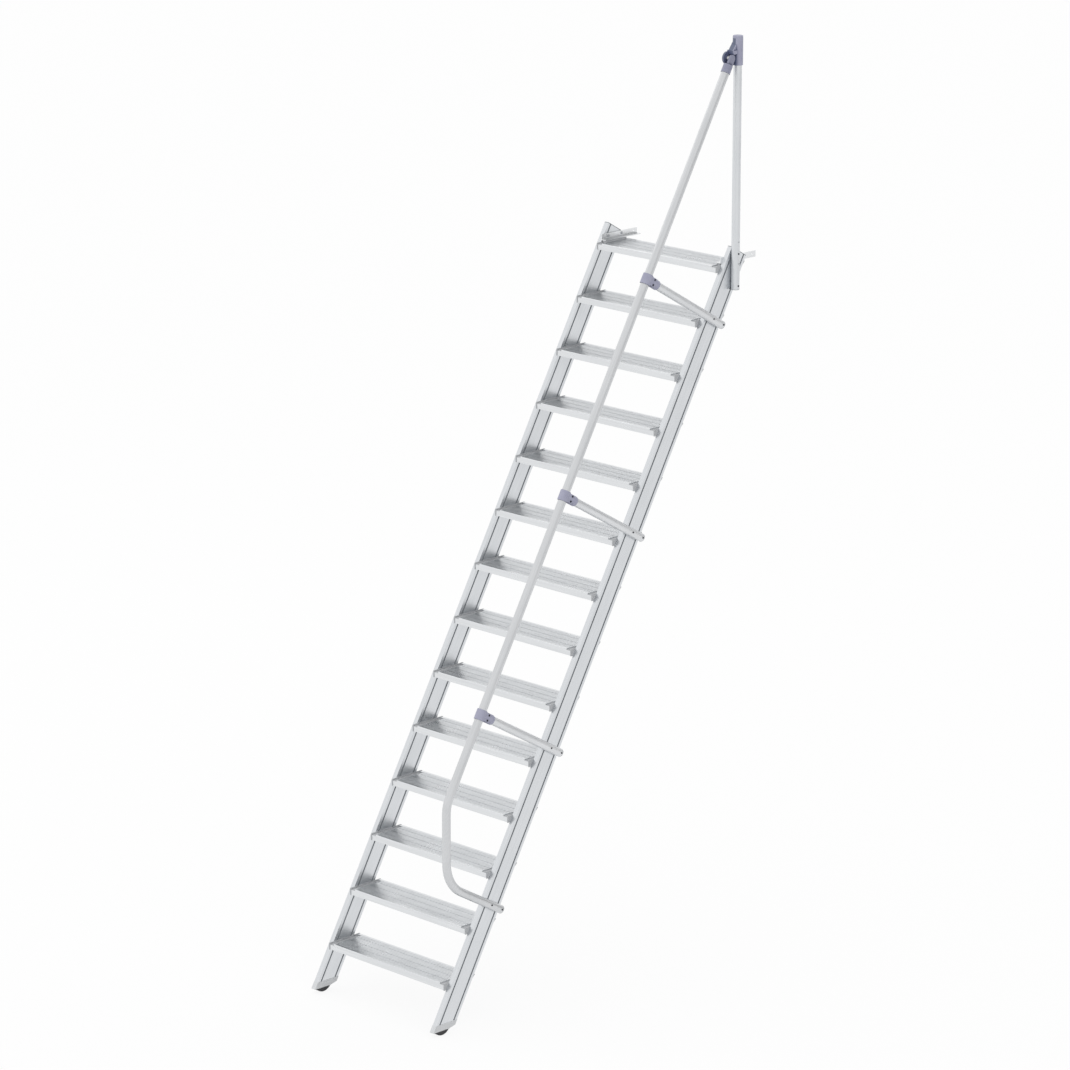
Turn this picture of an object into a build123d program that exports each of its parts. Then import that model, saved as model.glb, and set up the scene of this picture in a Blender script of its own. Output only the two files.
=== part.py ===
from build123d import *
import math
import os

os.makedirs("parts", exist_ok=True)

# A straight aluminium access stair: two inclined stringers, plain treads between them, one handrail on
# the climber's right and two angle brackets that lie on the landing. All sizes are millimetres.
# +X is the climber's right, +Y the climbing direction, +Z up. The origin is the middle of the flat
# underside of the left landing bracket.

# Flight
first_rise = 233.5
rise = 240.0
pitch = 60.0
tread_count = 14
clear_width = 787.0

# Stringers
stringer_depth = 114.0
stringer_thickness = 25.0
stringer_wall = 2.4
stringer_over = 87.0
groove_width = 8.2
groove_depth = 5.0
groove_inset = 18.4
top_cap_thickness = 4.0

# Treads
tread_depth = 195.0
tread_thickness = 31.0
tread_plate = 5.0
tread_wall = 3.0
tread_bays = 4
nosing_lap = 9.8
nosing_radius = 3.0
nosing_strip = 21.0
rear_strip = 19.0
rear_edge_height = 5.0
rib_pitch = 12.6
rib_groove_width = 4.5
rib_groove_depth = 1.6
drain_every = 4
drain_width = 6.5
drain_depth = 3.0

# Tread end caps
end_cap_length = 31.5
end_cap_plate = 5.0
end_cap_floor = 1.6
end_cap_rim = 1.6
end_cap_proud = 2.0
end_cap_drop = 1.0
end_cap_recess = 4.6
end_cap_inset = 2.0

# Feet
foot_cap_top = 53.5
foot_cap_bottom = 22.0
foot_cap_heel = 9.0
foot_cap_lip = 1.0
rubber_chord = 88.0
rubber_toe_inset = 12.0
rubber_side_inset = 1.0

# Landing brackets
bracket_leg = 30.0
bracket_plate = 5.0
bracket_relief = 1.0
bracket_overhang = 77.0
bracket_length = 244.0
pad_clearance = 7.0
landing_step = 9.0
landing_hole_radius = 4.5
landing_hole_spacing = 40.0
side_hole_inset = 25.0

# Handrail and its supports
tube_diameter = 40.0
tube_wall = 2.5
tube_gap = 0.2
tube_end_short = 10.0
handrail_standoff = 490.0
handrail_bend_radius = 180.0
handrail_leg_along = 674.5
handrail_drop_standoff = 295.5
strut_first_along = 1454.5
strut_spacing = 1081.5
strut_top_drop = 355.0
strut_names = ("lower", "middle", "upper")

# Clamps where the struts meet the handrail
clamp_length = 50.0
clamp_wall = 5.0
clamp_socket_wall = 3.8
clamp_socket_gap = 0.3
clamp_reach = 77.0
clamp_seat = 46.0
clamp_block_width = 42.0
clamp_block_thickness = 44.0
clamp_edge_radius = 2.0

# Post and swivel fitting at the top of the handrail
post_bottom_drop = 113.0
post_cross_drop = 19.0
post_rail_offset = 48.0
head_below_pivot = 36.0
head_wall = 4.5
head_roof = 12.0
head_edge_radius = 4.0
head_web_height = 67.0
head_web_set_back = 5.0
head_web_thickness = 31.0
arm_height = 18.0
arm_front = 43.0
arm_right = 15.0
cheek_radius = 30.0
cheek_thickness = 10.0
cheek_offset = 18.0
tongue_thickness = 10.0
tongue_right = 12.5
tongue_radius = 17.0
tongue_gap = 1.0
swivel_socket_wall = 2.6
swivel_socket_length = 41.0
swivel_socket_offset = 34.0
swivel_floor = 6.0
pin_radius = 6.0
pin_gap = 0.15
pin_bite = 7.0
pin_head_radius = 9.0
pin_head_thickness = 4.0

# Tube plugs
plug_depth = 14.0
plug_flange = 2.0
plug_gap = 0.15

# Worked out
cos_pitch = math.cos(math.radians(pitch))
sin_pitch = math.sin(math.radians(pitch))
going = rise / math.tan(math.radians(pitch))
up_flight = (0, cos_pitch, sin_pitch)
through_flight = (0, sin_pitch, -cos_pitch)
front_y = going + nosing_lap - (first_rise - tread_thickness) / math.tan(math.radians(pitch))
top_tread_z = first_rise + (tread_count - 1) * rise
top_tread_rear_y = tread_count * going + tread_depth
stringer_length = (top_tread_z + stringer_over) / sin_pitch
inner_x = clear_width / 2
stringer_x = inner_x + stringer_thickness / 2
outer_x = inner_x + stringer_thickness
tread_end_x = inner_x - end_cap_plate
notch_x = inner_x - end_cap_length
tube_radius = tube_diameter / 2
bore_radius = tube_radius - tube_wall
tube_x = outer_x + tube_gap + tube_radius
landing_z = top_tread_z + landing_step
pad_front_y = top_tread_rear_y + pad_clearance
bracket_rear_y = top_tread_rear_y + bracket_overhang
bracket_front_y = bracket_rear_y - bracket_length
pad_x = inner_x - bracket_leg / 2
pad_y = (pad_front_y + bracket_rear_y) / 2
tube_tip_across = stringer_depth - tube_end_short


def tread_z(number):
    """Height of a tread's top above ground, counted from the lowest tread."""
    return first_rise + (number - 1) * rise


def place(x, y, z):
    """Point of the model from its place right of the centre line, behind the foot and above ground."""
    return (x + pad_x, y - pad_y, z - landing_z)


def flight_yz(along, across):
    """Y and Z of a point along the stringer from the ground and across it from its front face."""
    y = front_y + along * cos_pitch + across * sin_pitch
    return (y, along * sin_pitch - across * cos_pitch)


def on_flight(x, along, across):
    """Point of the model from its place along and across the stringers."""
    y, z = flight_yz(along, across)
    return place(x, y, z)


def side_plane(x, y, z):
    """Upright plane facing the climber's right, with its own X along the climb and its own Y up."""
    return Plane(origin=place(x, y, z), x_dir=(0, 1, 0), z_dir=(1, 0, 0))


def flight_plane(x, along, across):
    """Upright plane facing left, with its own X up the stringer and its own Y from front to back."""
    return Plane(origin=on_flight(x, along, across), x_dir=up_flight, z_dir=(-1, 0, 0))


def across_plane(x, along, across):
    """Plane square to the struts, facing from front to back."""
    return Plane(origin=on_flight(x, along, across), x_dir=(1, 0, 0), z_dir=through_flight)


def save(part, name):
    """Labels a finished piece and writes it."""
    part.label = name
    export_step(part, f"parts/{name}.step")


def add_tread_outline(sketch, front, rear, top, bottom):
    """Adds the side outline of treads and end caps, cut off below its rear, to an open sketch."""
    with Locations(((front + rear) / 2, (top + bottom) / 2)):
        Rectangle(rear - front, top - bottom)
    chamfer(sketch.vertices().group_by(Axis.Y)[0].sort_by(Axis.X)[-1], top - bottom - rear_edge_height)
    fillet(sketch.vertices().group_by(Axis.Y)[-1], nosing_radius)


# Stringers: one grooved hollow extrusion each, square at the top and level at the foot
sides = (("left", -1), ("right", 1))
for side_name, side in sides:
    foot_section = Plane(
        origin=on_flight(side * stringer_x, 0, 0), x_dir=(1, 0, 0), z_dir=up_flight
    )
    with BuildPart() as stringer:
        with BuildSketch(foot_section):
            with Locations((0, stringer_depth / 2)):
                Rectangle(stringer_thickness, stringer_depth)
            for groove_across in (groove_inset, stringer_depth - groove_inset):
                for face in (-1, 1):
                    with Locations((face * stringer_thickness / 2, groove_across)):
                        Rectangle(2 * groove_depth, groove_width, mode=Mode.SUBTRACT)
            offset(amount=-stringer_wall, kind=Kind.INTERSECTION, mode=Mode.SUBTRACT)
        extrude(amount=stringer_length)
        split(bisect_by=Plane.XY.offset(foot_cap_top - landing_z), keep=Keep.TOP)
    save(stringer.part, f"{side_name}_stringer")

    top_section = Plane(
        origin=on_flight(side * stringer_x, stringer_length, stringer_depth / 2),
        x_dir=(1, 0, 0),
        z_dir=up_flight,
    )
    with BuildPart() as top_cap:
        with BuildSketch(top_section):
            Rectangle(stringer_thickness, stringer_depth)
        extrude(amount=top_cap_thickness)
        top_face = top_cap.faces().sort_by(Axis(top_section.origin, up_flight))[-1]
        fillet(top_face.edges(), top_cap_thickness / 2)
    save(top_cap.part, f"{side_name}_stringer_top_cap")

# Treads: ribbed plates with deeper drains between groups of ribs, webs below and a notch at each end
tread_length = 2 * tread_end_x
bay_width = (tread_depth - (tread_bays + 1) * tread_wall) / tread_bays
ribbed_depth = tread_depth - nosing_strip - rear_strip
rib_groove_count = int(ribbed_depth // rib_pitch) + 1
drain_count = rib_groove_count // drain_every
bay_drop = tread_thickness - tread_plate
notch_depth = end_cap_recess + end_cap_floor
notch_reach = tread_depth - rear_strip
for number in range(1, tread_count + 1):
    with BuildPart() as tread:
        with BuildSketch(side_plane(-tread_end_x, number * going, tread_z(number))) as profile:
            add_tread_outline(profile, 0, tread_depth, 0, -tread_thickness)
            for bay in range(tread_bays):
                bay_middle = tread_wall + bay_width / 2 + bay * (bay_width + tread_wall)
                with Locations((bay_middle, -tread_plate - bay_drop / 2)):
                    Rectangle(bay_width, bay_drop, mode=Mode.SUBTRACT)
            with Locations((nosing_strip + ribbed_depth / 2, 0)):
                with GridLocations(rib_pitch, 1, rib_groove_count, 1):
                    Rectangle(rib_groove_width, 2 * rib_groove_depth, mode=Mode.SUBTRACT)
                with GridLocations(drain_every * rib_pitch, 1, drain_count, 1):
                    Rectangle(drain_width, 2 * drain_depth, mode=Mode.SUBTRACT)
        extrude(amount=tread_length)
        for side in (-1, 1):
            with BuildSketch(side_plane(side * notch_x, number * going, tread_z(number))):
                Rectangle(2 * notch_reach, 2 * notch_depth)
            extrude(amount=side * end_cap_length, mode=Mode.SUBTRACT)
    save(tread.part, f"tread_{number:02d}")

# Tread end caps: a plate against the stringer and a thin tray in the tread's notch
tray_depth = notch_reach - end_cap_inset
tray_length = end_cap_length - end_cap_plate
plate_bottom = -tread_thickness - end_cap_drop
for side_name, side in sides:
    with BuildPart() as end_caps:
        for number in range(1, tread_count + 1):
            with BuildSketch(side_plane(side * inner_x, number * going, tread_z(number))) as plate:
                add_tread_outline(plate, -end_cap_proud, tread_depth, end_cap_rim, plate_bottom)
            extrude(amount=-side * end_cap_plate)
            with BuildSketch(side_plane(side * notch_x, number * going, tread_z(number))):
                with Locations((notch_reach - tray_depth / 2, -end_cap_recess - end_cap_floor / 2)):
                    Rectangle(tray_depth, end_cap_floor)
            extrude(amount=side * tray_length)
    save(end_caps.part, f"{side_name}_tread_end_caps")


def stringer_front_y(z):
    """Y of the stringers' front face at a height above ground."""
    return front_y + z / math.tan(math.radians(pitch))


# Feet: a level cap under each stringer, with its heel lifted, and a rocker of rubber under the cap
foot_run = stringer_depth / sin_pitch
heel_z = foot_cap_bottom + foot_cap_heel
rubber_front_y = stringer_front_y(foot_cap_bottom) + rubber_toe_inset
rubber_rear_y = rubber_front_y + rubber_chord
for side_name, side in sides:
    with BuildPart() as foot_cap:
        with BuildSketch(side_plane(side * stringer_x, 0, 0)):
            with BuildLine():
                Polyline(
                    (stringer_front_y(foot_cap_top) - foot_cap_lip, foot_cap_top),
                    (stringer_front_y(foot_cap_top) + foot_run + foot_cap_lip, foot_cap_top),
                    (stringer_front_y(heel_z) + foot_run + foot_cap_lip, heel_z),
                    (rubber_rear_y, foot_cap_bottom),
                    (stringer_front_y(foot_cap_bottom) - foot_cap_lip, foot_cap_bottom),
                    close=True,
                )
            make_face()
        extrude(amount=stringer_thickness / 2 + foot_cap_lip, both=True)
    save(foot_cap.part, f"{side_name}_foot_cap")

    with BuildPart() as rubber_foot:
        with BuildSketch(side_plane(side * stringer_x, 0, 0)):
            with BuildLine():
                ThreePointArc(
                    (rubber_front_y, foot_cap_bottom),
                    ((rubber_front_y + rubber_rear_y) / 2, 0),
                    (rubber_rear_y, foot_cap_bottom),
                )
                Line((rubber_rear_y, foot_cap_bottom), (rubber_front_y, foot_cap_bottom))
            make_face()
        extrude(amount=stringer_thickness / 2 - rubber_side_inset, both=True)
    save(rubber_foot.part, f"{side_name}_rubber_foot")

# Landing brackets: equal angles on the stringers' inner faces, relieved where they pass over the tread
for side_name, side in sides:
    with BuildPart() as bracket:
        angle_plane = Plane(
            origin=place(side * inner_x, bracket_rear_y, landing_z), x_dir=(-side, 0, 0), z_dir=(0, side, 0)
        )
        with BuildSketch(angle_plane):
            Rectangle(bracket_leg, bracket_plate, align=(Align.MIN, Align.MIN))
            Rectangle(bracket_plate, bracket_leg, align=(Align.MIN, Align.MIN))
        extrude(amount=-side * bracket_length)
        with BuildSketch(side_plane(side * inner_x, 0, landing_z)):
            with Locations(((bracket_front_y + pad_front_y) / 2, 0)):
                Rectangle(pad_front_y - bracket_front_y, 2 * bracket_relief)
        extrude(amount=bracket_leg, both=True, mode=Mode.SUBTRACT)
        with BuildSketch(Plane(place(side * pad_x, pad_y, landing_z))):
            with GridLocations(1, landing_hole_spacing, 1, 2):
                Circle(landing_hole_radius)
        extrude(amount=bracket_plate, mode=Mode.SUBTRACT)
        side_hole_z = landing_z + (bracket_leg + bracket_plate) / 2
        with BuildSketch(side_plane(side * inner_x, bracket_rear_y - side_hole_inset, side_hole_z)):
            Circle(landing_hole_radius)
        extrude(amount=bracket_plate, both=True, mode=Mode.SUBTRACT)
    save(bracket.part, f"{side_name}_top_bracket")

# Where the handrail, the post and the swivel meet
rail_y = flight_yz(0, -handrail_standoff)[0]
post_y = stringer_front_y(top_tread_z - post_cross_drop) + stringer_depth / sin_pitch / 2
pivot_y = post_y - post_rail_offset
pivot_along = (pivot_y - rail_y) / cos_pitch
pivot_z = flight_yz(pivot_along, -handrail_standoff)[1]
arm_bottom_z = pivot_z + tongue_radius + tongue_gap
arm_top_z = arm_bottom_z + arm_height
head_top_z = arm_top_z + head_web_height
head_bottom_z = pivot_z - head_below_pivot
head_height = head_top_z - head_bottom_z
rail_top_along = pivot_along - swivel_socket_offset - swivel_floor
leg_corner_y = flight_yz(handrail_leg_along, -handrail_drop_standoff)[0]
bend_along = (leg_corner_y - rail_y) / cos_pitch

# Handrail: one bent tube, up along the flight and back to the stringer at its foot
with BuildPart() as handrail:
    with BuildLine() as rail_path:
        FilletPolyline(
            on_flight(tube_x, rail_top_along, -handrail_standoff),
            on_flight(tube_x, bend_along, -handrail_standoff),
            on_flight(tube_x, handrail_leg_along, -handrail_drop_standoff),
            on_flight(tube_x, handrail_leg_along, tube_tip_across),
            radius=handrail_bend_radius,
        )
    with BuildSketch(Plane(origin=rail_path.line @ 0, z_dir=rail_path.line % 0)):
        Circle(tube_radius)
        Circle(bore_radius, mode=Mode.SUBTRACT)
    sweep()
save(handrail.part, "handrail")

# Struts from the handrail to the stringer, and the tee clamps that hold them on the handrail
strut_start = clamp_seat + tube_gap - handrail_standoff
clamp_socket_radius = tube_radius + clamp_socket_wall
strut_alongs = (
    strut_first_along,
    strut_first_along + strut_spacing,
    stringer_length - strut_top_drop,
)
for strut_name, strut_along in zip(strut_names, strut_alongs):
    with BuildPart() as strut:
        with BuildSketch(across_plane(tube_x, strut_along, strut_start)):
            Circle(tube_radius)
            Circle(bore_radius, mode=Mode.SUBTRACT)
        extrude(amount=tube_tip_across - strut_start)
    save(strut.part, f"{strut_name}_strut")

    rail_section = Plane(origin=on_flight(tube_x, strut_along, -handrail_standoff), z_dir=up_flight)
    strut_section = across_plane(tube_x, strut_along, -handrail_standoff)
    with BuildPart() as clamp:
        with BuildSketch(rail_section):
            Circle(tube_radius + clamp_wall)
        extrude(amount=clamp_length / 2, both=True)
        fillet(clamp.edges().filter_by(GeomType.CIRCLE), clamp_edge_radius)
        with BuildSketch(strut_section):
            Circle(clamp_socket_radius)
        extrude(amount=clamp_reach)
        socket_face = clamp.faces().sort_by(Axis(strut_section.origin, through_flight))[-1]
        fillet(socket_face.edges(), clamp_edge_radius)
        with BuildSketch(strut_section):
            RectangleRounded(clamp_block_thickness, clamp_block_width, clamp_edge_radius)
        extrude(amount=clamp_seat)
        with BuildSketch(rail_section):
            Circle(tube_radius)
        extrude(amount=clamp_length, both=True, mode=Mode.SUBTRACT)
        with BuildSketch(strut_section.offset(clamp_seat)):
            Circle(tube_radius + clamp_socket_gap)
        extrude(amount=clamp_reach, mode=Mode.SUBTRACT)
    save(clamp.part, f"{strut_name}_clamp")

# Post: an upright tube on the stringer's outer face
post_bottom_z = top_tread_z - post_bottom_drop
post_top_z = head_top_z - head_roof
with BuildPart() as post:
    with BuildSketch(Plane(place(tube_x, post_y, post_bottom_z))):
        Circle(tube_radius)
        Circle(bore_radius, mode=Mode.SUBTRACT)
    extrude(amount=post_top_z - post_bottom_z)
save(post.part, "handrail_post")

# Post head: a sleeve with an arm towards the handrail, a web above the arm and a round cheek below it
head_radius = tube_radius + head_wall
cheek_outer_x = cheek_offset + cheek_thickness
with BuildPart() as head:
    with BuildSketch(Plane(place(tube_x, post_y, head_bottom_z))):
        Circle(head_radius)
    extrude(amount=head_height)
    fillet(head.faces().sort_by(Axis.Z)[-1].edges(), head_edge_radius)
    with BuildSketch(side_plane(tube_x - tube_radius, 0, 0)):
        with BuildLine():
            Polyline(
                (post_y + head_web_set_back, head_top_z - head_edge_radius),
                (post_y - arm_front, arm_top_z),
                (post_y + head_web_set_back, arm_top_z),
                close=True,
            )
        make_face()
    extrude(amount=head_web_thickness)
    with BuildSketch(Plane(place(tube_x, post_y, arm_bottom_z))):
        with Locations(((arm_right - cheek_outer_x) / 2, -arm_front / 2)):
            Rectangle(arm_right + cheek_outer_x, arm_front)
    extrude(amount=arm_height)
    with BuildSketch(side_plane(tube_x - cheek_outer_x, 0, 0)):
        with BuildLine():
            Polyline(
                (post_y, arm_bottom_z),
                (pivot_y, arm_bottom_z),
                (pivot_y, pivot_z - cheek_radius),
                (post_y, pivot_z - cheek_radius),
                close=True,
            )
        make_face()
        with Locations((pivot_y, pivot_z)):
            Circle(cheek_radius)
    extrude(amount=cheek_thickness)
    with BuildSketch(Plane(place(tube_x, post_y, head_bottom_z))):
        Circle(tube_radius)
    extrude(amount=head_height - head_roof, mode=Mode.SUBTRACT)
    with BuildSketch(side_plane(tube_x - cheek_outer_x, pivot_y, pivot_z)):
        Circle(pin_radius + pin_gap)
    extrude(amount=cheek_thickness, mode=Mode.SUBTRACT)
save(head.part, "post_head")

# Swivel: a socket on the handrail's upper end with a tongue that stands off the cheek
socket_top_along = pivot_along - swivel_socket_offset
tongue_left = tongue_right - tongue_thickness
with BuildPart() as swivel:
    with BuildSketch(Plane(origin=on_flight(tube_x, socket_top_along, -handrail_standoff), z_dir=up_flight)):
        Circle(tube_radius + swivel_socket_wall)
    extrude(amount=-swivel_socket_length)
    with BuildSketch(flight_plane(tube_x + tongue_right, pivot_along, -handrail_standoff)):
        Circle(tongue_radius)
        with Locations((-swivel_socket_offset / 2, 0)):
            Rectangle(swivel_socket_offset, 2 * tongue_radius)
    extrude(amount=tongue_thickness)
    with BuildSketch(Plane(origin=on_flight(tube_x, rail_top_along, -handrail_standoff), z_dir=up_flight)):
        Circle(tube_radius)
    extrude(amount=-swivel_socket_length, mode=Mode.SUBTRACT)
    with BuildSketch(side_plane(tube_x + tongue_left, pivot_y, pivot_z)):
        Circle(pin_radius + pin_gap)
    extrude(amount=pin_bite, mode=Mode.SUBTRACT)
save(swivel.part, "handrail_swivel")

# Swivel pin: its head outside the cheek, its tip in the tongue
with BuildPart() as pin:
    with BuildSketch(side_plane(tube_x - cheek_outer_x, pivot_y, pivot_z)):
        Circle(pin_radius)
    extrude(amount=cheek_outer_x + tongue_left + pin_bite)
    with BuildSketch(side_plane(tube_x - cheek_outer_x, pivot_y, pivot_z)):
        Circle(pin_head_radius)
    extrude(amount=-pin_head_thickness)
save(pin.part, "swivel_pin")

# Plugs in the open tube ends
tube_ends = [across_plane(tube_x, along, tube_tip_across) for along in (handrail_leg_along, *strut_alongs)]
tube_ends.append(Plane(origin=place(tube_x, post_y, post_bottom_z), z_dir=(0, 0, -1)))
with BuildPart() as plugs:
    for tube_end in tube_ends:
        with BuildSketch(tube_end):
            Circle(tube_radius)
        extrude(amount=plug_flange)
        with BuildSketch(tube_end):
            Circle(bore_radius - plug_gap)
        extrude(amount=-plug_depth)
save(plugs.part, "tube_end_plugs")
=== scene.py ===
"""Aluminium access stair: finishes, fasteners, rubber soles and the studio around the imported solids."""

import logging
import math
from collections.abc import Callable
from dataclasses import dataclass, replace
from enum import Enum

import bmesh
import bpy
from mathutils import Matrix, Vector


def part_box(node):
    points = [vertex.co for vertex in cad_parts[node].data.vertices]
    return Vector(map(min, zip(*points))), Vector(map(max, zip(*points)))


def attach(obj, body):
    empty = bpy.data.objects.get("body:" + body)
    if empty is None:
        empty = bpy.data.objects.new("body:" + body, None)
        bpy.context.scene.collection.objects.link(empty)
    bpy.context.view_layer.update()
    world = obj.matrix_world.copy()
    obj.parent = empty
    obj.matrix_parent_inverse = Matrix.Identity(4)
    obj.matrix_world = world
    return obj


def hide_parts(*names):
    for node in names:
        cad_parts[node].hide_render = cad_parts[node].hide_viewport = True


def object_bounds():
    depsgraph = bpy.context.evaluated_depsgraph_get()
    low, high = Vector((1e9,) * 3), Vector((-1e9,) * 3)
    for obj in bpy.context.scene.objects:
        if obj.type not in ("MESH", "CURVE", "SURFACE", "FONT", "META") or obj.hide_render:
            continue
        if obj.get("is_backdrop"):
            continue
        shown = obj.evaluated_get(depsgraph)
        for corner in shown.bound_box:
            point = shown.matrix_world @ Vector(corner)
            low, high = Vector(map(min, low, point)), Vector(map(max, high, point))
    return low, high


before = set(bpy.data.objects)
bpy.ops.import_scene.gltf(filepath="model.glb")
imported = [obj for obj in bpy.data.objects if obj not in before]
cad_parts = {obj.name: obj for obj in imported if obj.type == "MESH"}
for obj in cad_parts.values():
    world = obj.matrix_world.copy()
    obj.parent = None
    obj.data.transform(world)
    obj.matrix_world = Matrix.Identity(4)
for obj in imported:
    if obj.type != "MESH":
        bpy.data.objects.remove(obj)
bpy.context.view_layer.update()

log = logging.getLogger("stair")
MM = 0.001
BODY = "root"
# A face looks along an axis when its normal's share of it is above FACING, and turns aside below ASIDE.
FACING = 0.95
ASIDE = 0.5


def linear(code: str) -> tuple[float, float, float, float]:
    """Turn an sRGB hex colour into linear light.

    Args:
        code: six hex digits with a leading hash.

    Returns:
        Red, green, blue and alpha as Blender's sockets take them.
    """
    parts = [int(code[i:i + 2], 16) / 255 for i in (1, 3, 5)]
    red, green, blue = (p / 12.92 if p <= 0.04045 else ((p + 0.055) / 1.055) ** 2.4 for p in parts)
    return red, green, blue, 1.0


def add(tree: bpy.types.NodeTree, kind: str, settings: dict, links: dict | None = None) -> bpy.types.Node:
    """Add a node with its settings and incoming links.

    Args:
        tree: node tree that gets the node.
        kind: Blender's node type name.
        settings: socket names or numbers, or node properties, with their values.
        links: socket names or numbers with the output that feeds each.

    Returns:
        The new node.
    """
    node = tree.nodes.new(kind)
    for key, value in settings.items():
        if isinstance(key, str) and hasattr(node, key):
            setattr(node, key, value)
        else:
            node.inputs[key].default_value = value
    for key, source in (links or {}).items():
        tree.links.new(source, node.inputs[key])
    return node


class Run(Enum):
    """Direction in which a profile was pressed or drawn, as the texture's turn about X and its long axis."""

    FLIGHT = (-30.0, 2)
    ACROSS = (-30.0, 1)
    LEVEL = (0.0, 0)
    INWARD = (0.0, 1)
    UPRIGHT = (0.0, 2)


@dataclass(frozen=True)
class Flight:
    """Slope that the stringers, struts and rail share, in millimetres from the foot of the flight."""

    pitch: float = 60.0
    foot_y: float = -2145.446
    foot_z: float = -3362.5

    def along(self) -> Vector:
        """Unit vector up the flight."""
        return Vector((0, math.cos(math.radians(self.pitch)), math.sin(math.radians(self.pitch))))

    def across(self) -> Vector:
        """Unit vector from the stringers' front edges to their rear edges."""
        return Vector((0, math.sin(math.radians(self.pitch)), -math.cos(math.radians(self.pitch))))

    def foot(self) -> Vector:
        """Point in metres where the front edges would meet the ground."""
        return Vector((0, self.foot_y, self.foot_z)) * MM

    def point(self, x: float, along: float, across: float) -> Vector:
        """Place on the flight.

        Args:
            x: sideways place in metres.
            along: millimetres up the slope.
            across: millimetres from the front edges, square to the slope.

        Returns:
            The point in metres.
        """
        place = self.foot() + self.along() * along * MM + self.across() * across * MM
        return Vector((x, place.y, place.z))

    def along_of(self, node: str) -> float:
        """Millimetres up the slope at which a node's middle sits."""
        low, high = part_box(node)
        return ((low + high) / 2 - self.foot()).dot(self.along()) / MM


FLIGHT = Flight()


# Share of a noise pattern's range that is used, because its ends are rare.
NOISE_BAND = (0.3, 0.7)


@dataclass(frozen=True)
class Finish:
    """What every finish has: two tones of one colour and a range of roughness, both spread by noise."""

    name: str
    colour: str
    shade: str
    roughness: tuple[float, float]

    def material(self) -> bpy.types.Material:
        """Build the material, which each kind of finish does in its own way."""
        raise NotImplementedError

    def begin(self, metallic: float) -> tuple[bpy.types.Material, bpy.types.Node]:
        """Start a material.

        Args:
            metallic: 1 for metal, 0 for plastic and rubber.

        Returns:
            The material and its shader.
        """
        made = bpy.data.materials.new(self.name)
        made.use_nodes = True
        shader = made.node_tree.nodes["Principled BSDF"]
        shader.inputs["Metallic"].default_value = metallic
        return made, shader

    def tones(self, tree: bpy.types.NodeTree, noise: bpy.types.NodeSocket,
              band: tuple[float, float] = NOISE_BAND) -> bpy.types.NodeSocket:
        """Mix the two tones.

        Args:
            tree: the material's node tree.
            noise: pattern that says which tone lies where.
            band: part of the pattern's range over which the tones change.

        Returns:
            The mixed colour.
        """
        tint = add(tree, "ShaderNodeMapRange", {"From Min": band[0], "From Max": band[1]}, {"Value": noise})
        mixed = add(tree, "ShaderNodeMixRGB", {"Color1": linear(self.shade), "Color2": linear(self.colour)},
                    {"Fac": tint.outputs["Result"]})
        return mixed.outputs["Color"]

    def connect(self, shader: bpy.types.Node, colour: bpy.types.NodeSocket, gloss: bpy.types.NodeSocket,
                height: bpy.types.NodeSocket, bump: float, depth_mm: float) -> None:
        """Feed the shader.

        Args:
            shader: the material's shader.
            colour: base colour.
            gloss: pattern that spreads the roughness.
            height: pattern of the relief.
            bump: strength of the relief.
            depth_mm: depth of the relief in millimetres.
        """
        tree = shader.id_data
        rough = add(tree, "ShaderNodeMapRange", {"From Min": NOISE_BAND[0], "From Max": NOISE_BAND[1],
                                                 "To Min": self.roughness[0], "To Max": self.roughness[1]},
                    {"Value": gloss})
        relief = add(tree, "ShaderNodeBump", {"Strength": bump, "Distance": depth_mm * MM},
                     {"Height": height})
        tree.links.new(colour, shader.inputs["Base Color"])
        tree.links.new(rough.outputs["Result"], shader.inputs["Roughness"])
        tree.links.new(relief.outputs["Normal"], shader.inputs["Normal"])


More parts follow.
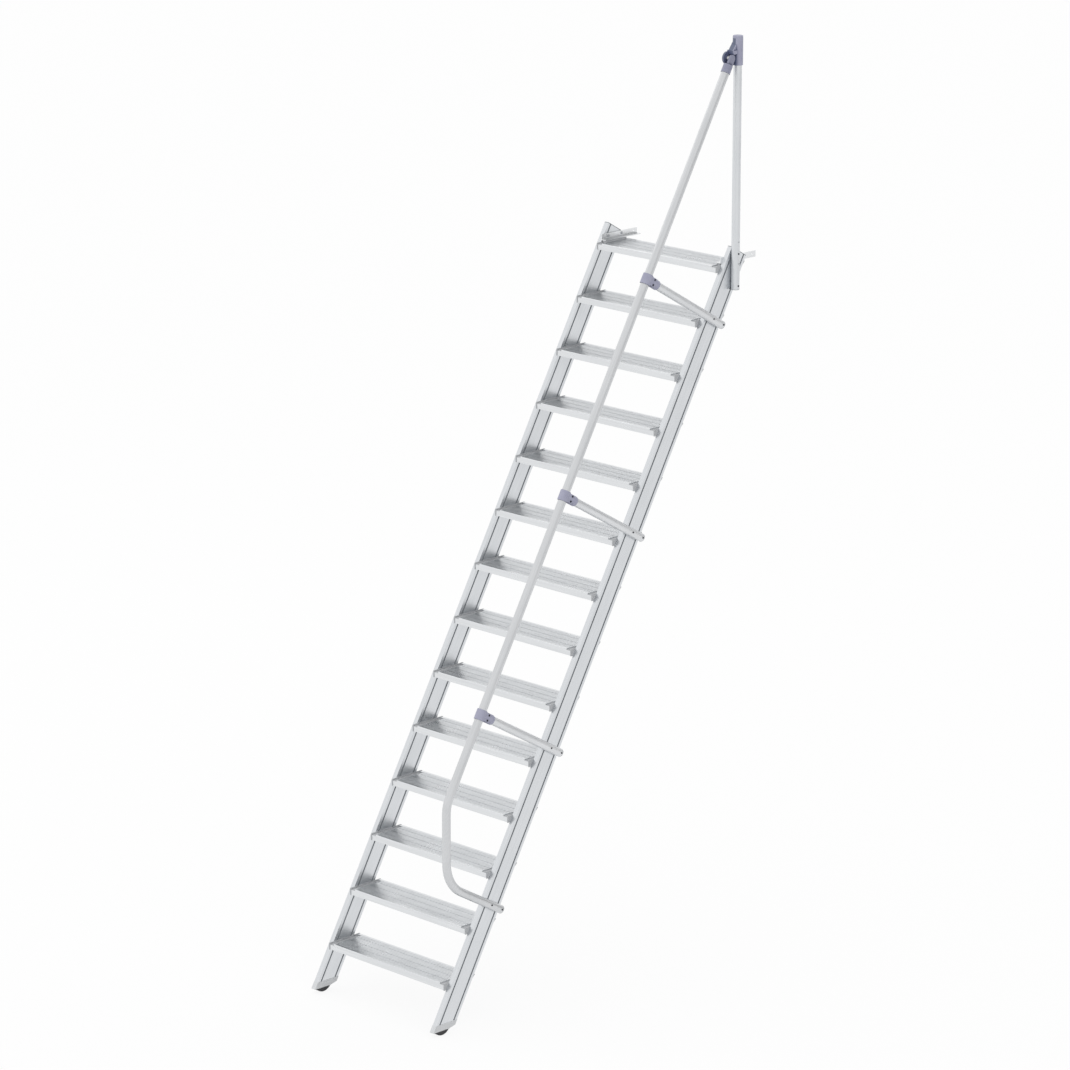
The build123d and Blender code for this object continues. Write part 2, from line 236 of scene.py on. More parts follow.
@dataclass(frozen=True)
class Aluminium(Finish):
    """Mill finish aluminium, pressed or drawn: a soft grey mirror with faint die lines along the profile."""

    run: Run
    line_mm: float = 7.0
    stretch: float = 60.0
    cloud_mm: float = 160.0
    bump: float = 0.08
    depth_mm: float = 0.5
    shaded_grooves_mm: tuple[float, ...] = ()
    groove_shade_half_mm: float = 4.15
    groove_shade_colour: str = "#b4b7ba"

    def material(self) -> bpy.types.Material:
        """Build the material.

        Returns:
            A material whose lines follow the profile and whose grooves get painted shade.
        """
        made, shader = self.begin(metallic=1.0)
        tree = made.node_tree
        turn, axis = self.run.value
        # Die lines are finer than a pixel here, so they are drawn some millimetres wide.
        size = [self.line_mm * MM] * 3
        size[axis] *= self.stretch
        on_flight = {"vector_type": "TEXTURE", "Location": FLIGHT.foot(),
                     "Rotation": (math.radians(turn), 0, 0)}
        coords = add(tree, "ShaderNodeTexCoord", {}).outputs["Object"]
        place = add(tree, "ShaderNodeMapping", {**on_flight, "Scale": size}, {"Vector": coords})
        lines = add(tree, "ShaderNodeTexNoise", {"Scale": 1.0, "Detail": 3.0, "Roughness": 0.6},
                    {"Vector": place.outputs["Vector"]}).outputs["Fac"]
        cloud = add(tree, "ShaderNodeTexNoise", {"Scale": 1 / (self.cloud_mm * MM), "Detail": 2.0},
                    {"Vector": coords}).outputs["Fac"]
        shown = self.tones(tree, lines)
        # Painted shade: a darker band of colour along each slot, where shade would fall.
        for across in self.shaded_grooves_mm:
            slope = add(tree, "ShaderNodeMapping", on_flight, {"Vector": coords})
            parts = add(tree, "ShaderNodeSeparateXYZ", {}, {"Vector": slope.outputs["Vector"]})
            band = add(tree, "ShaderNodeMath", {"operation": "COMPARE", 1: across * MM,
                                                2: self.groove_shade_half_mm * MM}, {0: parts.outputs["Y"]})
            shown = add(tree, "ShaderNodeMixRGB", {"Color2": linear(self.groove_shade_colour)},
                        {"Fac": band.outputs["Value"], "Color1": shown}).outputs["Color"]
        self.connect(shader, shown, cloud, lines, self.bump, self.depth_mm)
        return made


@dataclass(frozen=True)
class Moulded(Finish):
    """Moulded plastic or rubber: fine spark-eroded grain, a dull sheen, slightly uneven colour and, where
    asked, painted shade.
    """

    grain_mm: float = 2.5
    cloud_mm: float = 35.0
    bump: float = 0.25
    depth_mm: float = 0.3
    ior: float = 1.5
    painted_shade_reach_mm: float = 0.0
    painted_shade_colour: str = "#000000"
    painted_shade_band: tuple[float, float] = (0.68, 0.97)
    web_shade_colour: str = "#000000"
    web_shade_limit: tuple[float, float, float] | None = None

    def material(self) -> bpy.types.Material:
        """Build the material.

        Returns:
            A material with grain in its relief, clouds in its colour, painted shade in sheltered corners and,
            where limits are given, painted shade in one box.
        """
        made, shader = self.begin(metallic=0.0)
        tree = made.node_tree
        shader.inputs["IOR"].default_value = self.ior
        coords = add(tree, "ShaderNodeTexCoord", {}).outputs["Object"]
        # The real grain is about half a millimetre and drawn coarser, so that it shows.
        grain = add(tree, "ShaderNodeTexNoise", {"Scale": 1 / (self.grain_mm * MM), "Detail": 3.0},
                    {"Vector": coords}).outputs["Fac"]
        cloud = add(tree, "ShaderNodeTexNoise", {"Scale": 1 / (self.cloud_mm * MM), "Detail": 2.0},
                    {"Vector": coords}).outputs["Fac"]
        shown = self.tones(tree, cloud)
        # Painted shade: a darker tone inside a box given by three limits, on the post head's web.
        if self.web_shade_limit:
            shown = add(tree, "ShaderNodeMixRGB", {"Color2": linear(self.web_shade_colour)},
                        {"Fac": self.web_shade_mask(tree, coords), "Color1": shown}).outputs["Color"]
        # Painted shade: ambient occlusion darkens the colour towards a dark tone in sheltered corners and
        # creases.
        if self.painted_shade_reach_mm:
            shelter = add(tree, "ShaderNodeAmbientOcclusion", {"Distance": self.painted_shade_reach_mm * MM})
            open_air = add(tree, "ShaderNodeMapRange", {"From Min": self.painted_shade_band[0],
                                                        "From Max": self.painted_shade_band[1]},
                           {"Value": shelter.outputs["AO"]})
            shown = add(tree, "ShaderNodeMixRGB", {"Color1": linear(self.painted_shade_colour)},
                        {"Fac": open_air.outputs["Result"], "Color2": shown}).outputs["Color"]
        self.connect(shader, shown, grain, grain, self.bump, self.depth_mm)
        return made

    def web_shade_mask(self, tree: bpy.types.NodeTree, coords: bpy.types.NodeSocket) -> bpy.types.NodeSocket:
        """Say where the painted shade on the post head's web lies.

        Args:
            tree: the material's node tree.
            coords: Object coordinates.

        Returns:
            1 where a place lies below all three limits, else 0.
        """
        parts = add(tree, "ShaderNodeSeparateXYZ", {}, {"Vector": coords})
        side_x, side_y, side_z = (
            add(tree, "ShaderNodeMath", {"operation": "LESS_THAN", 1: limit},
                {0: parts.outputs[axis]}).outputs["Value"]
            for axis, limit in zip("XYZ", self.web_shade_limit))
        level = add(tree, "ShaderNodeMath", {"operation": "MULTIPLY"}, {0: side_x, 1: side_y})
        inside = add(tree, "ShaderNodeMath", {"operation": "MULTIPLY"},
                     {0: level.outputs["Value"], 1: side_z})
        return inside.outputs["Value"]


@dataclass(frozen=True)
class PlatedSteel(Finish):
    """Plated or blackened steel: a cool grey metal with a mottled, half dull skin."""

    mottle_mm: float = 3.0
    mottle_band: tuple[float, float] = (0.35, 0.65)
    bump: float = 0.1
    depth_mm: float = 0.2

    def material(self) -> bpy.types.Material:
        """Build the material.

        Returns:
            A metal with mottled colour and gloss.
        """
        made, shader = self.begin(metallic=1.0)
        tree = made.node_tree
        coords = add(tree, "ShaderNodeTexCoord", {})
        mottle = add(tree, "ShaderNodeTexNoise", {"Scale": 1 / (self.mottle_mm * MM), "Detail": 4.0},
                     {"Vector": coords.outputs["Object"]}).outputs["Fac"]
        shown = self.tones(tree, mottle, self.mottle_band)
        self.connect(shader, shown, mottle, mottle, self.bump, self.depth_mm)
        return made


# Places of the two slots, in millimetres from the stringers' front edges.
GROOVES_MM = (18.4, 95.6)
# Pressed box section: long die lines up the slope, and painted shade in the slots, a darker colour in a band
# along each.
STRINGER = Aluminium("extruded_aluminium_stringer", "#dfe1e4", "#d7dadd", (0.27, 0.35), Run.FLIGHT,
                     shaded_grooves_mm=GROOVES_MM)
# Pressed ribbed plank: lines run along the tread.
TREAD = Aluminium("extruded_aluminium_tread", "#e5e7e9", "#dddfe1", (0.26, 0.34), Run.LEVEL)
# Drawn tubes: satin, lines along each tube; one aluminium, painted a darker tone on the rail and lighter ones
# on the strut and post in place of how light falls on each.
RAIL = Aluminium("drawn_aluminium_rail", "#dadbdd", "#d0d2d4", (0.36, 0.46), Run.FLIGHT, line_mm=5.0)
STRUT = Aluminium("drawn_aluminium_strut", "#eaebed", "#e1e3e5", (0.50, 0.60), Run.ACROSS, line_mm=5.0)
POST = Aluminium("drawn_aluminium_post", "#e4e6e8", "#dadde0", (0.40, 0.50), Run.UPRIGHT, line_mm=5.0)
# Sawn angle: lines along the leg, a little duller, in a paler tone that is painted light.
BRACKET = Aluminium("extruded_aluminium_bracket", "#f0f1f2", "#e7e9eb", (0.30, 0.40), Run.INWARD, line_mm=4.0)
# Glass filled nylon: grey, dull, fine grain.
END_CAP = Moulded("moulded_nylon_end_cap", "#c2c4c6", "#b9bbbe", (0.5, 0.62))
# Pale polypropylene: nearly the metal's grey, waxy.
FOOT_CAP = Moulded("moulded_polypropylene_foot_cap", "#e0e2e4", "#d8dadc", (0.42, 0.52))
# Blue grey nylon of the rail fittings: soft gloss on its rounded edges, and painted shade in sheltered
# corners.
FITTING = Moulded("moulded_nylon_fitting", "#adaec2", "#a2a3b9", (0.42, 0.55), painted_shade_reach_mm=60.0, painted_shade_colour="#3d4360")
# The same nylon, with painted shade: a darker tone on the side of the post head towards the pivot, and a
# paler shade colour in its sheltered corners.
POST_HEAD = replace(FITTING, name="moulded_nylon_post_head", painted_shade_colour="#5a6180", web_shade_colour="#6c7389")
# The same nylon, drawn a shade darker as painted shade: the handrail's half of the pivot, with painted shade
# in its sheltered corners too.
SWIVEL = Moulded("moulded_nylon_swivel", "#9b9db1", "#9092a7", (0.42, 0.55), painted_shade_reach_mm=60.0, painted_shade_colour="#3d4360")
# Plugs and caps that close the profiles.
PLUG = Moulded("moulded_polyethylene_plug", "#9da1a5", "#93979b", (0.45, 0.55))
# Carbon black rubber: dark, dull, with a dusty bloom.
RUBBER = Moulded("moulded_rubber_sole", "#47474a", "#3b3b3e", (0.6, 0.75), grain_mm=1.8, bump=0.35)
# Zinc plated bolts: pale, half dull.
STEEL = PlatedSteel("zinc_plated_steel_bolt", "#c3c5c8", "#b3b5b9", (0.3, 0.45))
# Blackened screws: dark dots on the pale tubes.
BLACKED = PlatedSteel("black_oxide_steel_screw", "#525357", "#424347", (0.35, 0.5))
# White bush around the pivot: the palest plastic here, kept white so that the pivot shows bright in the
# head's shade, partly a painted highlight.
SPACER = Moulded("moulded_acetal_spacer", "#f6f6f4", "#efefed", (0.3, 0.4))
# Turned pivot: the brightest metal here.
PIN = PlatedSteel("zinc_plated_steel_pin", "#d4d5d6", "#c4c5c7", (0.2, 0.3))


class Palette:
    """Materials made once and handed out by finish."""

    def __init__(self) -> None:
        """Start with nothing made."""
        self.made: dict[str, bpy.types.Material] = {}

    def get(self, finish: Finish) -> bpy.types.Material:
        """Give a finish's material, and make it the first time.

        Args:
            finish: the finish that is asked for.

        Returns:
            Its material.
        """
        if finish.name not in self.made:
            self.made[finish.name] = finish.material()
        return self.made[finish.name]

    def dress(self, thing: bpy.types.Object, finish: Finish) -> None:
        """Give an object one finish all over."""
        thing.data.materials.clear()
        thing.data.materials.append(self.get(finish))


def deselect() -> None:
    """Leave edit mode and select nothing."""
    if bpy.context.mode != "OBJECT":
        bpy.ops.object.mode_set(mode="OBJECT")
    bpy.ops.object.select_all(action="DESELECT")


def edit(thing: bpy.types.Object) -> None:
    """Open one object in edit mode with none of its faces selected."""
    deselect()
    thing.select_set(True)
    bpy.context.view_layer.objects.active = thing
    bpy.ops.object.mode_set(mode="EDIT")
    bpy.ops.mesh.select_mode(type="FACE")
    bpy.ops.mesh.select_all(action="DESELECT")


def pick(thing: bpy.types.Object, test: Callable[[bmesh.types.BMFace], bool]) -> None:
    """Select the faces that pass a test, in edit mode.

    Args:
        thing: object in edit mode.
        test: says whether a face is wanted.
    """
    bpy.ops.mesh.select_all(action="DESELECT")
    shape = bmesh.from_edit_mesh(thing.data)
    for face in shape.faces:
        if test(face):
            face.select_set(True)
    bmesh.update_edit_mesh(thing.data)


def soften(thing: bpy.types.Object, width_mm: float, segments: int = 2, angle: float = 35.0) -> None:
    """Round an object's sharp edges with a bevel that is applied.

    Args:
        thing: object to round.
        width_mm: width of the rounding.
        segments: steps across it.
        angle: least angle between faces that counts as sharp, in degrees.
    """
    deselect()
    thing.select_set(True)
    bpy.context.view_layer.objects.active = thing
    bpy.ops.object.modifier_add(type="BEVEL")
    rounding = thing.modifiers[-1]
    rounding.width = width_mm * MM
    rounding.segments = segments
    rounding.limit_method = "ANGLE"
    rounding.angle_limit = math.radians(angle)
    rounding.use_clamp_overlap = True
    bpy.ops.object.modifier_apply(modifier=rounding.name)
    bpy.ops.object.shade_smooth_by_angle(angle=math.radians(angle))


def join(things: list[bpy.types.Object], name: str) -> bpy.types.Object:
    """Join objects into the first of them.

    Args:
        things: objects to join.
        name: name of the result.

    Returns:
        The joined object.
    """
    deselect()
    for thing in things:
        thing.select_set(True)
    bpy.context.view_layer.objects.active = things[0]
    bpy.ops.object.join()
    things[0].name = name
    return things[0]


def settle(thing: bpy.types.Object) -> None:
    """Move an object's place, turn and size into its mesh."""
    deselect()
    thing.select_set(True)
    bpy.context.view_layer.objects.active = thing
    bpy.ops.object.transform_apply(location=True, rotation=True, scale=True)


def disc(name: str, radius_mm: float, low_mm: float, high_mm: float, sides: int) -> bpy.types.Object:
    """Add an upright round or many-sided blank that the shaping starts from.

    Args:
        name: name of the object.
        radius_mm: radius to its corners.
        low_mm: height of its base.
        high_mm: height of its top.
        sides: number of sides.

    Returns:
        The blank.
    """
    deselect()
    bpy.ops.mesh.primitive_cylinder_add(vertices=sides, radius=radius_mm * MM, depth=(high_mm - low_mm) * MM,
                                        location=(0, 0, (low_mm + high_mm) / 2 * MM))
    blank = bpy.context.active_object
    blank.name = name
    settle(blank)
    return blank


def place_copy(master: bpy.types.Object, name: str, seat: Vector, axis: Vector) -> bpy.types.Object:
    """Copy a small piece with its own mesh to a seat.

    Args:
        master: piece that stands on the origin along +Z.
        name: name of the copy.
        seat: where its seat comes, in metres.
        axis: direction in which its top points.

    Returns:
        The copy, riding on the stair.
    """
    copy = bpy.data.objects.new(name, master.data.copy())
    bpy.context.scene.collection.objects.link(copy)
    turn = Vector((0, 0, 1)).rotation_difference(axis).to_matrix().to_4x4()
    copy.data.transform(Matrix.Translation(seat) @ turn)
    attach(copy, BODY)
    return copy


def step_top(thing: bpy.types.Object, step_mm: tuple[float, float]) -> None:
    """Inset an upright piece's level top and lift or sink what is inside.

    Args:
        thing: piece in edit mode.
        step_mm: width of the inset and the height that follows.
    """
    inset, rise = step_mm
    pick(thing, lambda face: face.normal.z > FACING)
    bpy.ops.mesh.inset(thickness=inset * MM)
    bpy.ops.transform.translate(value=(0, 0, rise * MM))


@dataclass
class Fasteners:
    """Bolts, screws and rivets, each modelled once and copied to its seats, sizes in millimetres."""

    palette: Palette
    hex_flats: float = 10.0
    hex_height: float = 4.0
    hex_sides: int = 6
    hex_chamfer: tuple[float, float] = (1.1, 0.6)
    hex_dish: tuple[float, float] = (1.4, -0.35)
    washer_radius: float = 7.0
    washer_height: float = 1.2
    washer_sides: int = 40
    washer_crown: tuple[float, float] = (0.5, 0.3)
    screw_radius: float = 4.2
    screw_height: float = 1.8
    screw_sink: float = 1.0
    head_sides: int = 32
    screw_crown: tuple[float, float] = (0.7, 0.35)
    socket_radius: float = 2.4
    socket_depth: float = 1.4
    rivet_radius: float = 4.0
    rivet_sink: float = 1.0
    rivet_skirt: float = 0.5
    rivet_dome: tuple[tuple[float, float], ...] = ((0.9, 0.7), (1.0, 0.4), (0.5, -0.5))
    edge: float = 0.3
    rail_leg_along: float = 674.5
    post_heights: tuple[float, float] = (49.1, -105.3)
    rivet_heights: tuple[float, float] = (105.5, 1.5)
    bracket_plate: float = 5.0
    bracket_inset: tuple[float, float] = (44.0, 137.0)
    rail_across: float = -490.0
    screw_from_rail: float = 32.0
    screw_half_spacing: float = 13.0
    clamp_flat: float = 3.0

    def hex_head(self) -> bpy.types.Object:
        """Model a chamfered hexagon head on the height of the washer.

        Returns:
            The head.
        """
        seat = self.washer_height
        head = disc("hex_head", self.hex_flats / math.sqrt(3), seat, seat + self.hex_height, self.hex_sides)
        edit(head)
        step_top(head, self.hex_chamfer)
        step_top(head, self.hex_dish)
        deselect()
        soften(head, self.edge)
        return head

    def washer(self) -> bpy.types.Object:
        """Model a washer with a raised top.

        Returns:
            The washer.
        """
        ring = disc("washer", self.washer_radius, 0.0, self.washer_height, self.washer_sides)
        edit(ring)
        step_top(ring, self.washer_crown)
        deselect()
        soften(ring, self.edge)
        return ring

    def bolt(self, name: str) -> bpy.types.Object:
        """Model a bolt on its washer.

        Args:
            name: name of the bolt.

        Returns:
            The bolt, standing on the origin along +Z.
        """
        made = join([self.washer(), self.hex_head()], name)
        self.palette.dress(made, STEEL)
        return made

    def screw(self, name: str) -> bpy.types.Object:
        """Model a low screw head with a hexagon socket.

        Args:
            name: name of the screw.

        Returns:
            The screw, standing on the origin along +Z.
        """
        head = disc(name, self.screw_radius, -self.screw_sink, self.screw_height, self.head_sides)
        edit(head)
        step_top(head, self.screw_crown)
        deselect()
        floor = self.screw_height - self.socket_depth
        cutter = disc("socket", self.socket_radius, floor, floor + 2 * self.socket_depth, self.hex_sides)
        deselect()
        head.select_set(True)
        bpy.context.view_layer.objects.active = head
        bpy.ops.object.modifier_add(type="BOOLEAN")
        cut = head.modifiers[-1]
        cut.object = cutter
        cut.operation = "DIFFERENCE"
        bpy.ops.object.modifier_apply(modifier=cut.name)
        bpy.data.objects.remove(cutter)
        soften(head, self.edge / 2)
        self.palette.dress(head, BLACKED)
        return head

    def rivet(self) -> bpy.types.Object:
        """Model a domed rivet with its set mandrel.

        Returns:
            The rivet, standing on the origin along +Z.
        """
        head = disc("rivet", self.rivet_radius, -self.rivet_sink, self.rivet_skirt, self.head_sides)
        edit(head)
        for step_mm in self.rivet_dome:
            step_top(head, step_mm)
        deselect()
        soften(head, self.edge / 2)
        self.palette.dress(head, STEEL)
        return head

    def build(self) -> None:
        """Model each fastener once and copy it to its seats."""
        right = Vector((1, 0, 0))
        screw = self.screw("tube_screw")
        alongs = {"rail_leg": self.rail_leg_along}
        for name in ("lower_strut", "middle_strut", "upper_strut"):
            alongs[name] = FLIGHT.along_of(name)
        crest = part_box("lower_strut")[1].x
        for name, along in alongs.items():
            for part, across in zip(("front", "rear"), GROOVES_MM):
                place_copy(screw, f"{name}_{part}_screw", FLIGHT.point(crest, along, across), right)
        low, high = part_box("handrail_post")
        middle = (low + high) / 2
        for part, height in zip(("upper", "lower"), self.post_heights):
            place_copy(screw, f"post_{part}_screw", Vector((high.x, middle.y, height * MM)), right)
        bpy.data.objects.remove(screw)
        rivet = self.rivet()
        for part, height in zip(("upper", "lower"), self.rivet_heights):
            place_copy(rivet, f"post_{part}_rivet", Vector((high.x, middle.y, height * MM)), right)
        bpy.data.objects.remove(rivet)
        log.info("screws and rivets on %d tubes", len(alongs) + 1)
        self.build_bracket_bolts()
        self.build_clamp_screws()

    def build_bracket_bolts(self) -> None:
        """Set two bolts in the upright leg of each landing bracket."""
        plate_bolt = self.bolt("bracket_bolt")
        plate = self.bracket_plate * MM
        for side, sign in (("left", 1), ("right", -1)):
            low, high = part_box(f"{side}_top_bracket")
            face = low.x + plate if sign > 0 else high.x - plate
            height = (low.z + high.z + plate) / 2
            for part, inset in zip(("front", "rear"), self.bracket_inset):
                seat = Vector((face, low.y + inset * MM, height))
                place_copy(plate_bolt, f"{side}_bracket_{part}_bolt", seat, Vector((sign, 0, 0)))
            log.info("%s bracket bolts", side)
        bpy.data.objects.remove(plate_bolt)

    def build_clamp_screws(self) -> None:
        """Set two screws in the flat of each rail clamp."""
        screw = self.screw("clamp_screw")
        for name in ("lower", "middle", "upper"):
            along = FLIGHT.along_of(f"{name}_strut")
            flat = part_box(f"{name}_clamp")[1].x - self.clamp_flat * MM
            for part, sign in (("lower", -1), ("upper", 1)):
                seat = FLIGHT.point(flat, along + sign * self.screw_half_spacing,
                                    self.rail_across + self.screw_from_rail)
                place_copy(screw, f"{name}_clamp_{part}_screw", seat, Vector((1, 0, 0)))
            log.info("%s clamp screws", name)
        bpy.data.objects.remove(screw)


@dataclass
class PivotSpacer:
    """White bush on the swivel pin, between the head's cheek and the rail's tongue, its white partly a
    painted highlight, sizes in millimetres.
    """

    palette: Palette
    bore: float = 6.3
    radius: float = 8.5
    sides: int = 48
    head_and_cheek: float = 14.0
    pin_bite: float = 7.0
    clearance: float = 0.05
    rim: float = 4.0
    waist: float = 0.7
    edge: float = 0.4

    def build(self) -> None:
        """Model the bush with a slim waist and a bore, and slip it on the pin."""
        low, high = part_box("swivel_pin")
        start = low.x / MM + self.head_and_cheek + self.clearance
        end = high.x / MM - self.pin_bite - self.clearance
        bush = disc("pivot_bush", self.radius, 0.0, end - start, self.sides)
        edit(bush)
        pick(bush, lambda face: abs(face.normal.z) < ASIDE)
        bpy.ops.mesh.inset(thickness=self.rim * MM)
        bpy.ops.mesh.extrude_region_shrink_fatten(TRANSFORM_OT_shrink_fatten={"value": -self.waist * MM})
        pick(bush, lambda face: abs(face.normal.z) > FACING and len(face.verts) == self.sides)
        bpy.ops.mesh.inset(thickness=(self.radius - self.bore) * MM)
        bpy.ops.mesh.bridge_edge_loops()
        deselect()
        soften(bush, self.edge)
        self.palette.dress(bush, SPACER)
        seat = Vector((start * MM, (low.y + high.y) / 2, (low.z + high.z) / 2))
        place_copy(bush, "pivot_spacer", seat, Vector((1, 0, 0)))
        bpy.data.objects.remove(bush)
        log.info("pivot spacer")


@dataclass
class ShadePackingStrips:
    """Grey strips that fill the room between the landing brackets and the top tread, their grey partly
    painted shade under each bracket, sizes in millimetres.
    """

    palette: Palette
    plate: float = 5.0
    relief: float = 1.0
    gap: float = 0.3
    recess: float = 4.6
    rear_inset: float = 20.0
    front_inset: float = 4.0
    side_inset: float = 1.5
    grip: float = 1.2
    grip_rim: float = 2.0
    edge: float = 0.6

    def build(self) -> None:
        """Model a strip under each bracket."""
        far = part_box("tread_14")[1]
        floor = far.z + (self.gap - self.recess) * MM
        rear = far.y - self.rear_inset * MM
        for side, sign in (("left", 1), ("right", -1)):
            low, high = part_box(f"{side}_top_bracket")
            top = low.z + (self.relief - self.gap) * MM
            wall, free = (low.x, high.x) if sign > 0 else (high.x, low.x)
            inner = free - sign * self.side_inset * MM
            outer = wall + sign * (self.plate + self.gap) * MM
            front = low.y + self.front_inset * MM
            self.build_strip(f"{side}_shade_packing_strip", Vector((min(inner, outer), front, floor)),
                             Vector((max(inner, outer), rear, top)))

    def build_strip(self, name: str, low: Vector, high: Vector) -> None:
        """Model one strip with recessed long sides.

        Args:
            name: name of the piece.
            low: lower corner in metres.
            high: upper corner in metres.
        """
        deselect()
        bpy.ops.mesh.primitive_cube_add(size=1.0, location=(low + high) / 2)
        strip = bpy.context.active_object
        strip.name = name
        strip.scale = high - low
        settle(strip)
        edit(strip)
        pick(strip, lambda face: abs(face.normal.x) > FACING)
        bpy.ops.mesh.inset(thickness=self.grip_rim * MM, depth=-self.grip * MM, use_individual=True)
        deselect()
        soften(strip, self.edge)
        # Painted shade in part: the strip fills the gap, and its grey stands in for the shadow under the
        # bracket.
        self.palette.dress(strip, END_CAP)
        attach(strip, BODY)
        log.info("%s", name)


@dataclass
class RubberSoles:
    """Rocker soles under the foot caps, with ribs across the tread face, sizes in millimetres."""

    palette: Palette
    rib: float = 1.8
    rib_group: int = 3
    rib_phase: float = 0.25
    rib_limit: float = 0.2
    facets: int = 120
    end_area: float = 100.0
    recess_rim: float = 3.5
    recess: float = 0.7
    edge: float = 0.4

    def build(self) -> None:
        """Model a sole for each foot in the room its solid holds."""
        for side in ("left", "right"):
            self.build_sole(f"{side}_rubber_foot", f"{side}_ribbed_sole")

    def build_sole(self, node: str, name: str) -> None:
        """Model one sole.

        Args:
            node: solid that the sole stands for.
            name: name of the piece.
        """
        low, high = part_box(node)
        chord, rise = high.y - low.y, high.z - low.z
        radius = (chord * chord / 4 + rise * rise) / (2 * rise)
        hub = Vector(((low.x + high.x) / 2, (low.y + high.y) / 2, low.z + radius))
        deselect()
        bpy.ops.mesh.primitive_cylinder_add(vertices=self.facets, radius=radius - self.rib * MM,
                                            depth=high.x - low.x, location=hub, rotation=(0, math.pi / 2, 0))
        sole = bpy.context.active_object
        sole.name = name
        settle(sole)
        edit(sole)
        bpy.ops.mesh.select_all(action="SELECT")
        bpy.ops.mesh.bisect(plane_co=(hub.x, hub.y, high.z), plane_no=(0, 0, 1), use_fill=True,
                            clear_outer=True)
        step = 2 * math.pi / self.facets

        def is_rib(face: bmesh.types.BMFace) -> bool:
            """All facets but one in each group of the rounded face carry a rib."""
            centre = face.calc_center_median()
            turn = math.atan2(centre.y - hub.y, hub.z - centre.z) + math.pi
            rounded = abs(face.normal.x) < ASIDE and face.normal.z < self.rib_limit
            return rounded and int(turn / step + self.rib_phase) % self.rib_group != 0

        pick(sole, is_rib)
        bpy.ops.mesh.extrude_region_shrink_fatten(TRANSFORM_OT_shrink_fatten={"value": self.rib * MM})
        pick(sole, lambda face: abs(face.normal.x) > FACING and face.calc_area() > self.end_area * MM * MM)
        bpy.ops.mesh.inset(thickness=self.recess_rim * MM, depth=-self.recess * MM)
        deselect()
        soften(sole, self.edge)
        self.palette.dress(sole, RUBBER)
        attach(sole, BODY)
        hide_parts(node)
        log.info("%s", name)


@dataclass
class StairSolids:
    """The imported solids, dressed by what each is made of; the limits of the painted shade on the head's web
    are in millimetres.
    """

    palette: Palette
    web_shade_right: float = 7.2
    web_shade_front: float = 4.0
    web_shade_drop: float = 12.0

    def dress(self) -> None:
        """Give every solid its finish."""
        low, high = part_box("handrail_post")
        middle = (low + high) / 2
        # The box of painted shade: left of the post's axis plus a little, in front of it, and below the
        # head's top.
        limit = (middle.x + self.web_shade_right * MM, middle.y - self.web_shade_front * MM,
                 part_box("post_head")[1].z - self.web_shade_drop * MM)
        head = replace(POST_HEAD, web_shade_limit=limit)
        finishes = {"handrail": RAIL, "handrail_post": POST, "post_head": head, "handrail_swivel": SWIVEL,
                    "swivel_pin": PIN, "tube_end_plugs": PLUG}
        for name in ("lower", "middle", "upper"):
            finishes[f"{name}_strut"] = STRUT
            finishes[f"{name}_clamp"] = FITTING
        for side in ("left", "right"):
            finishes[f"{side}_stringer"] = STRINGER
            finishes[f"{side}_stringer_top_cap"] = PLUG
            finishes[f"{side}_tread_end_caps"] = END_CAP
            finishes[f"{side}_foot_cap"] = FOOT_CAP
            finishes[f"{side}_rubber_foot"] = RUBBER
            finishes[f"{side}_top_bracket"] = BRACKET
        for name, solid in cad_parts.items():
            self.palette.dress(solid, finishes.get(name, TREAD))
            log.info("%s dressed", name)


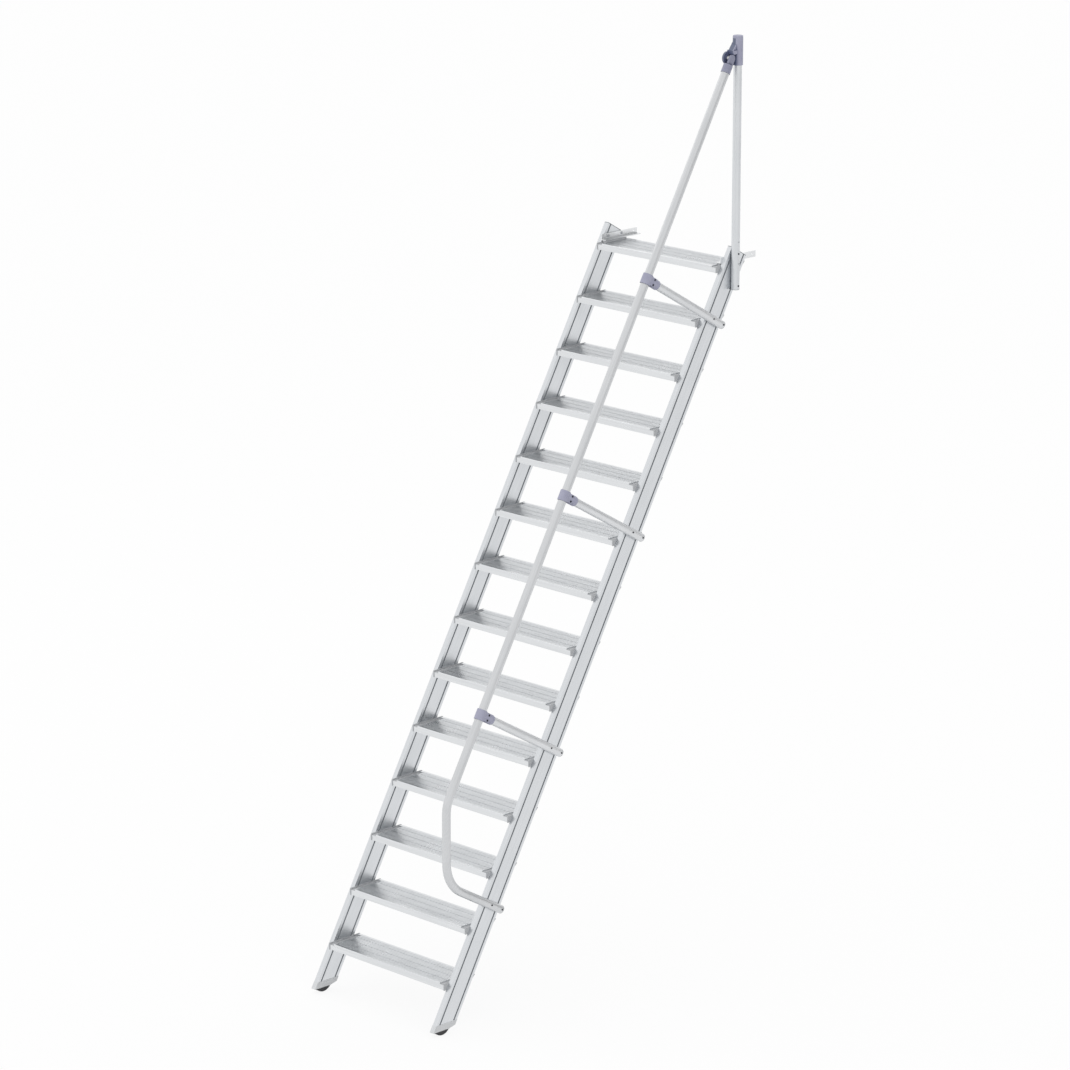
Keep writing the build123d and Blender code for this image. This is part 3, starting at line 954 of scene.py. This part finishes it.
@dataclass
class Studio:
    """Pale floor, soft light with a dim right-hand rear, and the camera, in metres."""

    floor_size: float = 260.0
    eye: tuple[float, float, float] = (15.6478, -16.2949, 4.5977)
    target: tuple[float, float, float] = (0.3785, -1.050108, -1.241925)
    lens_mm: float = 159.265
    sensor_mm: float = 36.0
    reach: float = 400.0
    shift: tuple[float, float] = (-0.000467, 0.000467)
    bright: float = 1.0
    dim: float = 0.35
    dim_towards: tuple[float, float, float] = (0.683, 0.683, 0.259)
    dim_edge: tuple[float, float] = (0.75, 0.97)
    key_towards: tuple[float, float, float] = (-0.78, 0.10, 0.62)
    key_distance: float = 9.0
    key_size: float = 6.0
    key_power: float = 40.0
    shadow_share: float = 0.12
    bounce_grey: float = 0.75
    paper_grey: float = 0.95
    floor_gap: float = 0.0002

    def build(self) -> None:
        """Set the floor, the light and the camera."""
        self.build_floor()
        self.build_world()
        self.build_key()
        self.build_camera()
        bpy.context.scene.view_settings.view_transform = "Standard"

    def build_floor(self) -> None:
        """Lay a white floor that keeps a soft shadow and looks white to the eye and in the metal."""
        deselect()
        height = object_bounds()[0].z - self.floor_gap
        bpy.ops.mesh.primitive_plane_add(size=self.floor_size, location=(0, 0, height))
        floor = bpy.context.active_object
        floor.name = "studio_floor"
        settle(floor)
        made = bpy.data.materials.new("matt_white_studio_floor")
        made.use_nodes = True
        tree = made.node_tree
        tree.nodes.clear()
        path = add(tree, "ShaderNodeLightPath", {})
        seen = path.outputs["Is Camera Ray"]
        for kind in ("Is Glossy Ray", "Is Transmission Ray"):
            seen = add(tree, "ShaderNodeMath", {"operation": "MAXIMUM"},
                       {0: seen, 1: path.outputs[kind]}).outputs["Value"]
        bounce = add(tree, "ShaderNodeBsdfDiffuse", {"Color": (*[self.bounce_grey] * 3, 1)})
        paper = add(tree, "ShaderNodeBsdfDiffuse", {"Color": (*[self.paper_grey] * 3, 1)})
        glow = add(tree, "ShaderNodeEmission", {"Strength": 1.0})
        shown = add(tree, "ShaderNodeMixShader", {0: self.shadow_share},
                    {1: glow.outputs["Emission"], 2: paper.outputs["BSDF"]})
        both = add(tree, "ShaderNodeMixShader", {},
                   {0: seen, 1: bounce.outputs["BSDF"], 2: shown.outputs["Shader"]})
        add(tree, "ShaderNodeOutputMaterial", {}, {"Surface": both.outputs["Shader"]})
        floor.data.materials.append(made)
        floor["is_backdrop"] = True
        log.info("floor")

    def build_world(self) -> None:
        """Light the room softly from all round, dimmer towards the right-hand rear."""
        world = bpy.data.worlds.new("studio_room")
        bpy.context.scene.world = world
        world.use_nodes = True
        tree = world.node_tree
        tree.nodes.clear()
        coords = add(tree, "ShaderNodeTexCoord", {})
        side = add(tree, "ShaderNodeVectorMath", {"operation": "DOT_PRODUCT", 1: self.dim_towards},
                   {0: coords.outputs["Generated"]})
        start, end = self.dim_edge
        fade = add(tree, "ShaderNodeMapRange",
                   {"interpolation_type": "SMOOTHSTEP", "From Min": start, "From Max": end},
                   {"Value": side.outputs["Value"]})
        room = add(tree, "ShaderNodeMixRGB",
                   {"Color1": (*[self.bright] * 3, 1), "Color2": (*[self.dim] * 3, 1)},
                   {"Fac": fade.outputs["Result"]})
        path = add(tree, "ShaderNodeLightPath", {})
        shown = add(tree, "ShaderNodeMixRGB", {"Color2": (1, 1, 1, 1)},
                    {"Fac": path.outputs["Is Camera Ray"], "Color1": room.outputs["Color"]})
        light = add(tree, "ShaderNodeBackground", {"Strength": 1.0}, {"Color": shown.outputs["Color"]})
        add(tree, "ShaderNodeOutputWorld", {}, {"Surface": light.outputs["Background"]})
        log.info("room light")

    def build_key(self) -> None:
        """Hang a large soft lamp at the left."""
        lamp = bpy.data.lights.new("left_softbox", "AREA")
        lamp.size = self.key_size
        lamp.energy = self.key_power
        holder = bpy.data.objects.new("left_softbox", lamp)
        bpy.context.scene.collection.objects.link(holder)
        towards = Vector(self.key_towards).normalized()
        holder.location = Vector(self.target) + towards * self.key_distance
        holder.rotation_euler = (-towards).to_track_quat("-Z", "Y").to_euler()
        log.info("softbox")

    def build_camera(self) -> None:
        """Set the camera where the picture was taken from."""
        eye = bpy.data.cameras.new("camera")
        eye.lens = self.lens_mm
        eye.sensor_width = self.sensor_mm
        eye.clip_end = self.reach
        eye.shift_x, eye.shift_y = self.shift
        holder = bpy.data.objects.new("camera", eye)
        bpy.context.scene.collection.objects.link(holder)
        holder.location = self.eye
        holder.rotation_euler = (Vector(self.target) - Vector(self.eye)).to_track_quat("-Z", "Y").to_euler()
        bpy.context.scene.camera = holder
        log.info("camera")


def main() -> None:
    """Dress the solids, model the small pieces and set the studio."""
    logging.basicConfig(level=logging.INFO, format="%(name)s: %(message)s")
    palette = Palette()
    StairSolids(palette).dress()
    Fasteners(palette).build()
    PivotSpacer(palette).build()
    ShadePackingStrips(palette).build()
    RubberSoles(palette).build()
    Studio().build()


if __name__ == "__main__":
    main()
